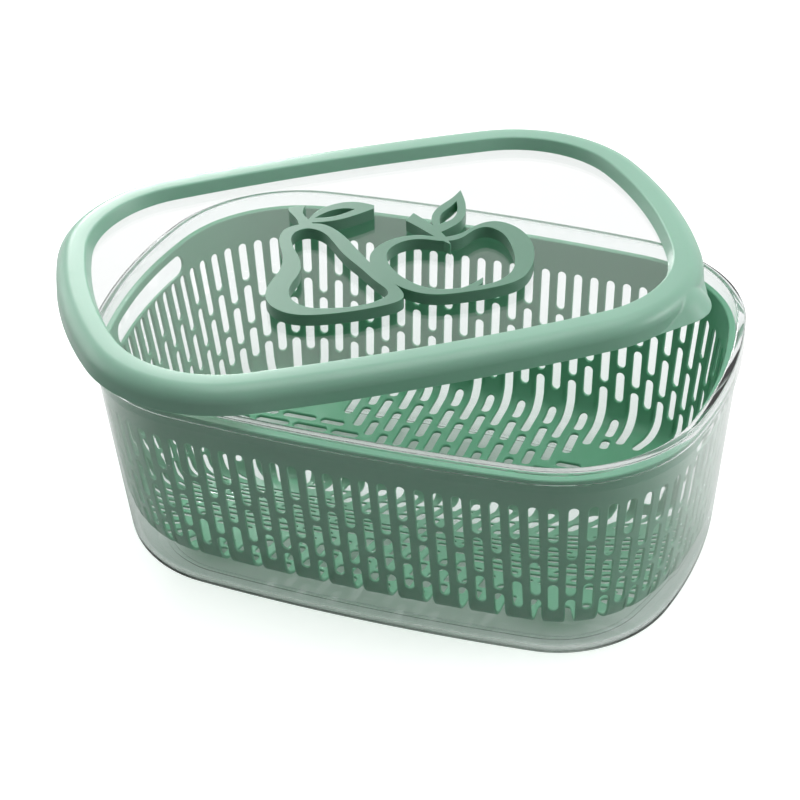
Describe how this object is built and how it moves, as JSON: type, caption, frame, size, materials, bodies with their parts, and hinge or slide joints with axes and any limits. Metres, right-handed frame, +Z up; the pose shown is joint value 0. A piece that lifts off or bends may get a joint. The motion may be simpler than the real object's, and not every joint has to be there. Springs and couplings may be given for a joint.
{
  "type": "produce keeper",
  "caption": "Clear oblong fruit keeper with a slotted green basket hanging inside and a windowed lid, pear and apple in relief, lying askew on its rim.",
  "frame": {"origin": "centre of the bin's flat base, on the table", "axes": "+X along the bin's length, +Y away from its near long side, +Z up out of the bin"},
  "size_m": [0.3386, 0.2858, 0.1275],
  "materials": {
    "clear_plastic": "clear",
    "green_plastic": "satin"
  },
  "bodies": {
    "root": {"clear_bin": "clear_plastic", "basket": "green_plastic", "lid_frame": "green_plastic", "lid_window": "clear_plastic", "fruit_relief": "green_plastic"}
  },
  "joints": []
}
